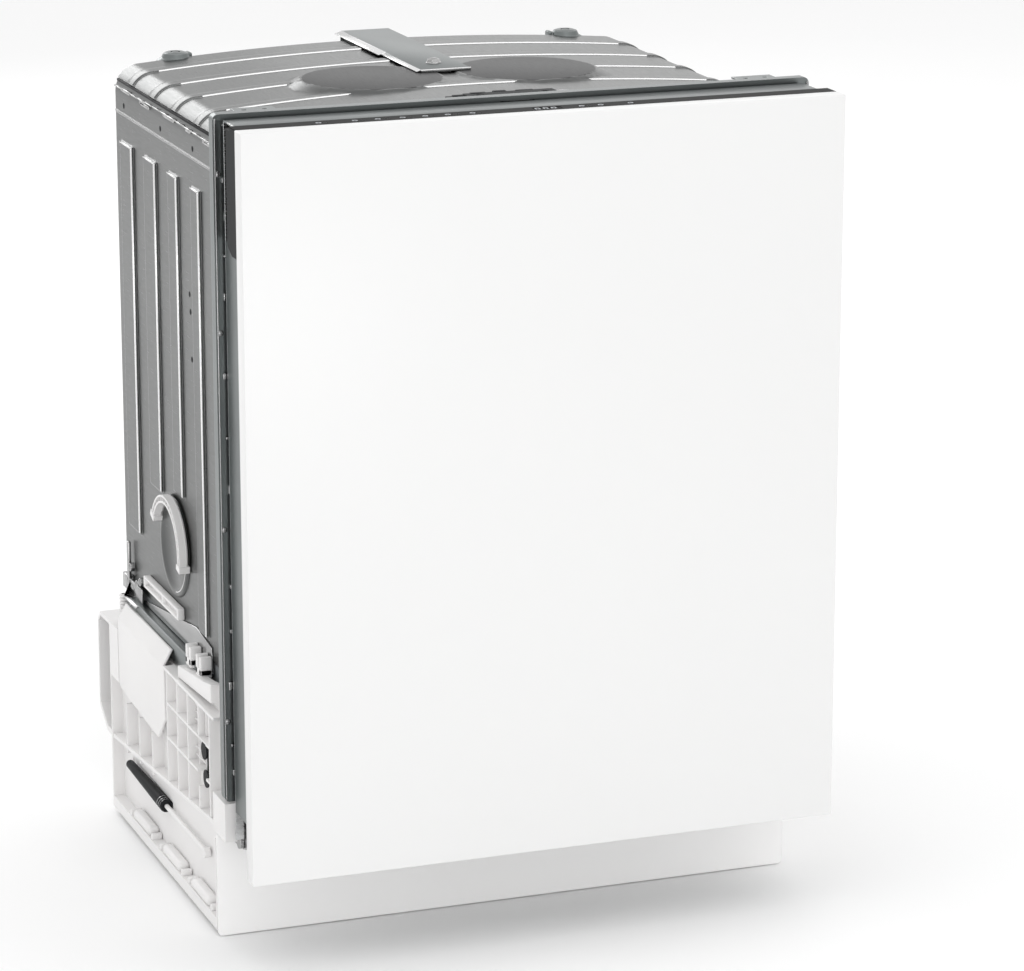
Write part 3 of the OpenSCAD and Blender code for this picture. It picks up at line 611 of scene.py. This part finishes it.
# Painted highlight: the folds take the pale steel where they catch the light.
folds = bmesh.new()
drawn(folds, [(-26, 810.2), (-25, 809), (-33.5, 806.9), (-34, 808)], "y", (114, 258), 0.4)
drawn(folds, [(-26, 809.4), (-25, 808.2), (-30, 806.8), (-30.6, 807.8)], "y", (6, 116), 0.4)
block(folds, (-26, 26), (3.6, 5.2), (806.8, 809.4), 0.5)
piece("strap_folds", folds, "bright_steel", look="painted_highlight_steel")

NUT = (0, 42, 0)
FRAME_Y = -199.5
nut = bmesh.new()
turned(nut, [(3.2, 808.6), (7.4, 808.6), (7.8, 809.3), (7.2, 810.2), (3.2, 810.2)], NUT)
turned(nut, [(0, 814.2), (3.2, 813.9), (6.0, 812.8), (7.7, 810.2), (0, 810.2)], NUT, steps=6)
for z in (230, 420, 610, 760):
    for x in (-294.5, 294.5):
        turned(nut, [(0, 1.8), (1.6, 1.7), (2.8, 1.0), (3.0, 0), (3.0, -1), (0, -1)],
               (x, FRAME_Y, z), "y", 16)
flipped([v for v in nut.verts if abs(v.co.x) > 200], 1, FRAME_Y)
piece("strap_nut_and_screws", nut, "bright_steel", replaces=["fasteners"])

SPACER = (212, 232, 0)
spacers = bmesh.new()
turned(spacers, [(5, 803.0), (9, 803.0), (12.5, 801.8), (14.5, 797.5), (19, 795.2), (19.6, 793.6),
                 (19.6, 791), (5, 791)], SPACER, steps=28)
turned(spacers, [(0, 803.0), (3.2, 802.9), (4.6, 802.0), (4.6, 798), (0, 798)], SPACER, steps=12)
block(spacers, (194, 199), (232, 245), (793, 801), 1.6)
block(spacers, (196, 228), (228, 233), (762, 794), 1.0)
mirrored(spacers)
piece("rear_spacer_domes", spacers, "bright_steel", replaces=["rear_spacers"], look="frame_steel")

# %% [markdown]
# ## Front frame trim and latch
# The front frame is a thin folded sheet. Its lip is a lighter line, painted as a highlight in
# bright steel, and small spring clips sit on it; their bright finish and more bright bits along the
# top edge add painted glints. The latch sits at the middle of its top: a bright folded plate with a
# black moulding on it.

# %% Frame lip, clips and latch
# Painted highlight: the lip is part of the frame's own sheet, drawn in the lighter bright steel.
lip = bmesh.new()
for x in (-297.6, 296.2):
    block(lip, (x, x + 1.4), (-201.0, -199.4), (152, 812), 0.3)
block(lip, (-290, 290), (-201.0, -199.4), (805.0, 806.4), 0.3)
piece("frame_lip", lip, "bright_steel")

# Partly painted glints: bright steel bits down the side strips and along the top edge, besides the
# clips.
bits = bmesh.new()
for i, z in enumerate((752, 716, 682, 641, 566, 508, 455, 362, 318, 262, 205, 176)):
    wide = 3.4 + 1.2 * math.sin(3.7 * i)
    for side in SIDES:
        x = side * (289.5 + 1.6 * math.sin(5.1 * i))
        block(bits, (x - wide / 2, x + wide / 2), (-202.2, -199.4),
              (z, z + 5 + 3 * math.sin(2.3 * i)), 0.5)
for x, wide in ((-268, 9), (-228, 14), (-196, 6), (-121, 12), (-66, 7),
                (86, 7), (108, 9), (243, 5), (262, 9)):
    block(bits, (x, x + wide), (-198.5, -193.5), (815.2, 815.95), 0.2)
piece("frame_clips_and_glints", bits, "bright_steel")

PLATE_Z = (811.0, 812.6)
latch = bmesh.new()
drawn(latch, [(-95, -196), (95, -196), (57, -163.5), (-9, -163.5)], "z", PLATE_Z, 0.3)
drawn(latch, [(57, -165), (-9, -165), (-9, -163.1), (57, -163.1)], "z", PLATE_Z, 0.4)
drawn(latch, [(-95, -196), (-9, -163.2), (-12, -163.2), (-95, -194.6)], "z", PLATE_Z, 0.4)
for x, y, long in ((-40, -178, 7), (-21, -172.5, 5), (12, -173, 9), (36, -180, 6)):
    block(latch, (x, x + long), (y, y + 2.2), (811.4, 812.6), 0.3)
piece("latch_plate_folded", latch, "bright_steel", replaces=["latch_plate"])

case = bmesh.new()
block(case, (-44, 44), (-196, -171.5), (805.5, 814.0), 0.8)
block(case, (-27, 28), (-187.8, -176.5), (813.0, 815.8), 0.6)
block(case, (-62, 33), (-187.4, -169), (811.5, 813.6), 0.6)
for x, y, wide in ((-58, -183, 12), (-38, -176, 16), (-14, -173, 13), (8, -176, 18)):
    block(case, (x, x + wide), (y, y + 7), (813, 815.9), 0.8)
for x in (-38, -24, -10, 6, 20, 33):
    turned(case, [(0, 815.7), (2.4, 815.6), (3.4, 815.0), (3.4, 812)],
           (x, -182 + 3 * math.sin(x), 0), steps=14)
for x in (-42, -31, -18, -3, 10, 24, 37):
    block(case, (x, x + 5), (-174.5, -170.6), (806, 813.8), 0.6)
block(case, (-60, -46), (-186, -176), (812.6, 814.6), 0.6)
block(case, (46, 64), (-190, -181), (812.6, 814.4), 0.6)
piece("latch_case", case, "black_plastic")

# %% [markdown]
# ## The kitchen board and the control strip
# The white board is 20 mm thick with sharp but broken edges. Behind its top edge lies the glossy
# black strip with touch marks. The marks are generic rings, bars and three outlined figures, raised
# by a hair so that they catch light. A thin steel flange covers the top of the door behind the
# strip.

# %% Board, door flange and marks
board = bmesh.new()
block(board, (-298, 298), (-287.5, -267.6), (93.5, 813), 0.9, 3)
piece("white_board", board, "panel_lacquer", "door", ["furniture_panel"])

flange = bmesh.new()
block(flange, (-289.6, 289.6), (-246.6, -206.4), (810.6, 811.5), 0.3)
piece("door_top_flange", flange, "frame_steel", "door")

MARK_Z = (812.4, 813.0)
MARK_LOW, MARK_TOP = MARK_Z
marks = bmesh.new()
for i, x in enumerate((-215, -180, -158, -134, -112, -90, -66, 42, 61, 91)):
    turned(marks, [(1.9, MARK_LOW), (1.9, MARK_TOP), (2.7, MARK_TOP), (2.7, MARK_LOW)],
           (x, -257.5, 0), steps=18)
    if x < 60:
        block(marks, (x + 5, x + 8 + 2 * (i % 3)), (-258.1, -256.9), MARK_Z, 0)
    if i % 2:
        block(marks, (x - 1, x + 1), (-261.4, -260.4), MARK_Z, 0)
for x in (-4, 4, 12):
    block(marks, (x, x + 4.6), (-261.0, -260.1), MARK_Z, 0)
    block(marks, (x, x + 4.6), (-255.0, -254.1), MARK_Z, 0)
    block(marks, (x, x + 0.9), (-261.0, -254.1), MARK_Z, 0)
    block(marks, (x + 3.7, x + 4.6), (-261.0, -254.1), MARK_Z, 0)
piece("touch_marks", marks, "key_white", "door", ["touch_keys"])

# %% [markdown]
# ## Vent, its strap and the clip bars
# Low on the left side the tub has a round vent, and a pale ribbed strap bends over it from rear to
# front. The strap is a flat bar spun through an arc, with short cross ribs. A white clip bar with a
# long slot sits below it, on both sides of the tub.

# %% Vent pressing
VENT = (-277.0, 36.0, 338.0)
vent = bmesh.new()
turned(vent, [(0, 0.6), (40, 0.6), (43, 2.4), (48, 2.6), (50, 1.6), (51, -0.6)], VENT, "x", 64)
flipped(vent.verts, 0, VENT[0])
piece("vent_pressing", vent, "tub_steel", replaces=["vent_ring"], crease=60)

# %% Ribbed strap and clip bars
band = bmesh.new()


def arc_bar(target, radius, depth, x0, x1, start, stop, steps):
    """A flat bar bent round the vent, between two angles in degrees."""
    part = bmesh.new()
    section = [part.verts.new(p) for p in ((x0, radius, 0), (x1, radius, 0),
                                           (x1, radius + depth, 0), (x0, radius + depth, 0))]
    part.faces.new(section)
    bmesh.ops.spin(part, geom=part.faces[:], cent=(0, 0, 0), axis=(1, 0, 0),
                   angle=math.radians(stop - start), steps=steps)
    bmesh.ops.rotate(part, cent=(0, 0, 0), matrix=Matrix.Rotation(math.radians(start), 3, "X"),
                     verts=part.verts)
    bmesh.ops.translate(part, vec=(0, VENT[1], VENT[2]), verts=part.verts)
    bmesh.ops.recalc_face_normals(part, faces=part.faces)
    joined(target, part)


arc_bar(band, 45.5, 2.2, -288.5, -279.5, 25, 190, 44)
arc_bar(band, 51.5, 2.0, -288.5, -279.5, 25, 190, 44)
arc_bar(band, 45.5, 8.0, -281.0, -279.6, 25, 190, 44)
for i in range(16):
    arc_bar(band, 46.5, 6.0, -288.0, -280.0, 30 + 10.4 * i, 31.6 + 10.4 * i, 1)
arc_bar(band, 44.5, 0.9, -279.6, -277.4, 190, 262, 24)
for start in (24, 186):
    arc_bar(band, 43.5, 12.0, -289.0, -278.0, start, start + 7, 3)
for side in SIDES:
    x = beside(side, 277.2, 284.6)
    for y in ((7, 11), (131, 135)):
        block(band, x, y, (270, 282), 0.9)
    for z in ((270, 272.6), (279.4, 282)):
        block(band, x, (9, 133), z, 0.8)
    block(band, beside(side, 277.2, 280), (9, 133), (272, 280), 0.4)
    block(band, x, (62, 66), (271, 281), 0.8)
piece("vent_strap_and_clip_bars", band, "white_plastic", replaces=["vent_fittings"])

# %% [markdown]
# ## Fittings between the tub and the base
# Behind the clip bar sit screws, a bent bracket and the end of a hose. They are small, so a handful
# of turned screw heads, a folded plate and a short ribbed hose are enough to read as the real
# thing.

# %% Screws, bracket and hose end
SCREW_X = 280
fittings = bmesh.new()
for side in SIDES:
    drawn(fittings, [(side * 277.2, 262), (side * 279, 262), (side * 279, 246), (side * 290, 244),
                     (side * 290, 242.4), (side * 277.2, 244)], "y", (150, 196), 0.5)
    for y, z in ((158, 268), (172, 262), (186, 256), (196, 274), (204, 258), (196, 244)):
        turned(fittings, [(0, 4.2), (2.2, 3.8), (4.4, 2.4), (4.8, 0), (4.8, -2)],
               (side * SCREW_X, y, z), "x", 16)
    block(fittings, beside(side, 277.2, 280.5), (200, 206), (238, 300), 0.8)
    block(fittings, beside(side, 277.2, 282), (206, 224), (246, 262), 1.2)
flipped([v for v in fittings.verts if abs(v.co.x + SCREW_X) < 4.3], 0, -SCREW_X)
piece("side_screws_and_brackets", fittings, "bright_steel")

hose = bmesh.new()
for side in SIDES:
    for i in range(9):
        turned(hose, [(3, 0), (5.2, 0.4), (5.8, 1.8), (5.2, 3.2), (3, 3.6), (3, 0)],
               (side * 284, 214, 208 + 3.6 * i), "z", 18)
piece("hose_ends", hose, "white_plastic")

# %% [markdown]
# ## The side of the base
# The base is a white moulding with shelves, ribs and small cells, and a smooth cover plate clipped
# over it. The solid model already has the walls and shelves. Here come the things that make it look
# moulded: a cover plate with broken edges, rows of small cells and raised ovals on the bottom edge.

# %% Cover plate
plate = bmesh.new()
for side in SIDES:
    reach = beside(side, 295.6, 298.6)
    drawn(plate, [(13.5, 222), (189, 222), (189, 152), (181.5, 148), (55.5, 139.5), (40, 139.5),
                  (13.5, 166)], "x", reach, 1.0, 3)
    drawn(plate, [(side * 295.6, 221.5), (side * 298.6, 221.5), (side * 290, 237.6),
                  (side * 287, 237.6)], "y", (17, 189), 0.8)
piece("cover_plates", plate, "white_plastic", replaces=["side_covers"])

# %% Cells and ovals
moulding = bmesh.new()
for side in SIDES:
    for y in (-141, -116, -91):
        for z in (166, 203):
            block(moulding, beside(side, 285.5, 293), (y - 1, y + 1), (z - 14, z + 14), 0.4)
    for z in (158, 166, 177, 194, 202, 210):
        block(moulding, beside(side, 285.5, 292), (-110, -76), (z, z + 1.6), 0.4)
    for y in (-132, -28, 84):
        block(moulding, beside(side, 286.5, 298.9), (y, y + 62), (17.5, 27.5), 4.5, 5)
        block(moulding, beside(side, 287.5, 298.6), (y + 68, y + 74), (17.5, 24), 1.6, 3)
        block(moulding, beside(side, 287.5, 298.6), (y - 12, y - 6), (17.5, 24), 1.6, 3)
piece("moulded_details", moulding, "white_plastic")

# %% [markdown]
# ## Damper, rod and rope pulley
# Under the shelf lies the door's spring tube, dark and thicker at its front end, with metal rings
# round it. The rod that leads forward from it comes from the solid model. The tube, the rings and
# the black pulleys in their pocket are turned shapes.

# %% Dampers
DAMPER_X, DAMPER_Z = 292.0, 66
damper = bmesh.new()
for x in (-DAMPER_X, DAMPER_X):
    turned(damper, [(0, 179), (3.9, 179), (4.5, 177), (5.0, 150), (6.0, 96), (6.8, 56), (6.9, 38),
                    (5.6, 36), (2.9, 36), (2.9, 120), (0, 120)], (x, 0, DAMPER_Z), "y", 32)
piece("damper_tubes", damper, "black_plastic", replaces=["door_springs"])

rings = bmesh.new()
for x in (-DAMPER_X, DAMPER_X):
    for y in (50, 44, 39):
        turned(rings, [(4.0, y - 1.2), (6.75, y - 1.2), (6.95, y), (6.75, y + 1.2), (4.0, y + 1.2),
                       (4.0, y - 1.2)], (x, 0, DAMPER_Z), "y", 32)
piece("damper_rings", rings, "bright_steel")

PULLEY_X, PULLEY_R = 291.5, 9
GROOVE_R = PULLEY_R - 2.4
pulley = bmesh.new()
for side in SIDES:
    for y, z in ((-118, 175), (-124, 148)):
        turned(pulley, [(0, -4.4), (PULLEY_R, -4.4), (PULLEY_R, -3.2), (GROOVE_R, -1),
                        (GROOVE_R, 1), (PULLEY_R, 3.2), (PULLEY_R, 4.4), (0, 4.4)],
               (side * PULLEY_X, y, z), "x", 28)
        turned(pulley, [(0, -4.5), (3.4, -4.5), (3.4, 4.5), (0, 4.5)],
               (side * PULLEY_X, y, z), "x", 16)
    block(pulley, beside(side, 287.1, 292), (-127, -115), (148, 175), 1.6)
piece("pulley_wheels", pulley, "black_plastic", replaces=["rope_pulleys"])

# %% [markdown]
# ## Ledges beside the tub
# Between the tub and the base lies a thin metal ledge that sheds water to the outside. A low plate
# stands on it against the tub, rising towards the front, and two notched white tabs hold its front
# end.

# %% Ledge plates and their tabs
ledge = bmesh.new()
for side in SIDES:
    drawn(ledge, [(180, 244), (180, 246), (-95, 246), (-95, 244)], "x",
          beside(side, 277, 287), 0.5)
    drawn(ledge, [(180, 226), (180, 245), (-95, 245), (-95, 226)], "x",
          beside(side, 285.5, 287), 0.5)
piece("ledge_plates", ledge, "bright_steel", replaces=["side_ledges"], look="frame_steel")

apron = bmesh.new()
for side in SIDES:
    drawn(apron, [(176, 246.5), (-39.5, 276), (-91.5, 270), (-94, 246.5)], "x",
          beside(side, 277.2, 278.6), 0.4)
piece("ledge_aprons", apron, "bright_steel")

tabs = bmesh.new()
for side in SIDES:
    for y in (-96, -60):
        block(tabs, beside(side, 279.4, 291), (y, y + 6), (243, 262), 1.0)
        block(tabs, beside(side, 279.4, 291), (y + 12, y + 18), (243, 262), 1.0)
        block(tabs, beside(side, 279.4, 291), (y, y + 18), (241, 250), 1.0)
    drawn(tabs, [(-30, 224), (-30, 236), (-124, 247), (-147, 251), (-147, 232)], "x",
          beside(side, 284.5, 296), 0.8)
piece("ledge_tabs", tabs, "white_plastic")

# %% [markdown]
# ## Wire baskets
# Dishwasher baskets are bent and welded from coated wire, so their walls are grids of round rods.
# One short helper makes a rod between two points. Eight sides are enough, as there are hundreds of
# them, and the rods may run through each other just as welded wires do.

# %% A helper for rods and wire grids
BASKET_Y = (-176.0, 206.0)


def rod(target, start, end, radius):
    start, end = Vector(start), Vector(end)
    part = bmesh.new()
    bmesh.ops.create_cone(part, cap_ends=True, segments=8, radius1=radius, radius2=radius,
                          depth=(end - start).length)
    turn = Vector((0, 0, 1)).rotation_difference(end - start).to_matrix().to_4x4()
    bmesh.ops.transform(part, matrix=Matrix.Translation((start + end) / 2) @ turn, verts=part.verts)
    joined(target, part)


def spread(low, high, pitch):
    count = max(1, round((high - low) / pitch))
    return [low + (high - low) * i / count for i in range(count + 1)]


def basket_wires(target, half_x, z0, z1, pitch, radius, rim_radius):
    """A floor grid and four walls, with a thicker rim all round."""
    x0, x1 = -half_x + rim_radius, half_x - rim_radius
    y0, y1 = BASKET_Y[0] + rim_radius, BASKET_Y[1] - rim_radius
    low, high = z0 + rim_radius, z1 - rim_radius
    for x in spread(x0, x1, pitch):
        rod(target, (x, y0, low), (x, y1, low), radius)
        for y in (y0, y1):
            rod(target, (x, y, low), (x, y, high), radius)
    for y in spread(y0, y1, pitch):
        rod(target, (x0, y, low), (x1, y, low), radius)
        for x in (x0, x1):
            rod(target, (x, y, low), (x, y, high), radius)
    for z, thick in ((low, rim_radius), ((low + high) / 2, radius), (high, rim_radius)):
        for y in (y0, y1):
            rod(target, (x0, y, z), (x1, y, z), thick)
        for x in (x0, x1):
            rod(target, (x, y0, z), (x, y1, z), thick)


def tines(target, rows, columns, foot, top, radius):
    for y in rows:
        for x in columns:
            rod(target, (x, y, foot), (x, y, top), radius)
        rod(target, (columns[0], y, foot), (columns[-1], y, foot), radius)


# %% The three baskets
lower = bmesh.new()
basket_wires(lower, 236, 140, 290, 31, 1.5, 2.0)
tines(lower, [-148.5 + 42 * i for i in range(1, 8)], [48 * i for i in range(-4, 5)], 142, 214, 1.5)
piece("lower_basket_wires", lower, "basket_coating", "lower_basket", ["lower_basket"])

upper = bmesh.new()
basket_wires(upper, 250, 470, 600, 31, 1.4, 2.0)
tines(upper, [-148.5 + 70 * i for i in range(1, 5)], [50 * i for i in range(-4, 5)], 472, 519, 1.4)
for side in SIDES:
    block(upper, beside(side, 249, 266.8), (-174.8, 204.8), (584.2, 591.8), 1.2)
turned(upper, [(0, 6.2), (8.8, 6.2), (8.8, 202.8), (6.5, 202.8), (6.5, 12), (0, 12)],
       (0, 0, 455), "y", 24)
turned(upper, [(0, 435.2), (6.8, 435.2), (6.8, 471.8), (0, 471.8)], (0, 16, 0), "z", 24)
piece("upper_basket_wires", upper, "basket_coating", "upper_basket", ["upper_basket"])

TRAY_Z = 745.5
tray = bmesh.new()
for x in spread(-250, 250, 26):
    rod(tray, (x, -174, TRAY_Z), (x, 202, TRAY_Z), 1.2)
for y in spread(-174, 202, 26):
    rod(tray, (-250, y, TRAY_Z), (250, y, TRAY_Z), 1.2)
for y in ((-175.8, -173.2), (201.2, 203.8)):
    block(tray, (-251.8, 251.8), y, (745, 765.8), 0.8)
for x in ((-251.8, -249.2), (249.2, 251.8)):
    block(tray, x, (-175, 203), (745, 765.8), 0.8)
for x in (-85, 85):
    block(tray, (x - 1.3, x + 1.3), (-174, 202), (745, 761.8), 0.6)
for side in SIDES:
    block(tray, beside(side, 250, 268.8), (-173.8, 202.8), (738.5, 744.8), 1.0)
piece("cutlery_tray_wires", tray, "basket_coating", "cutlery_tray", ["cutlery_tray"])
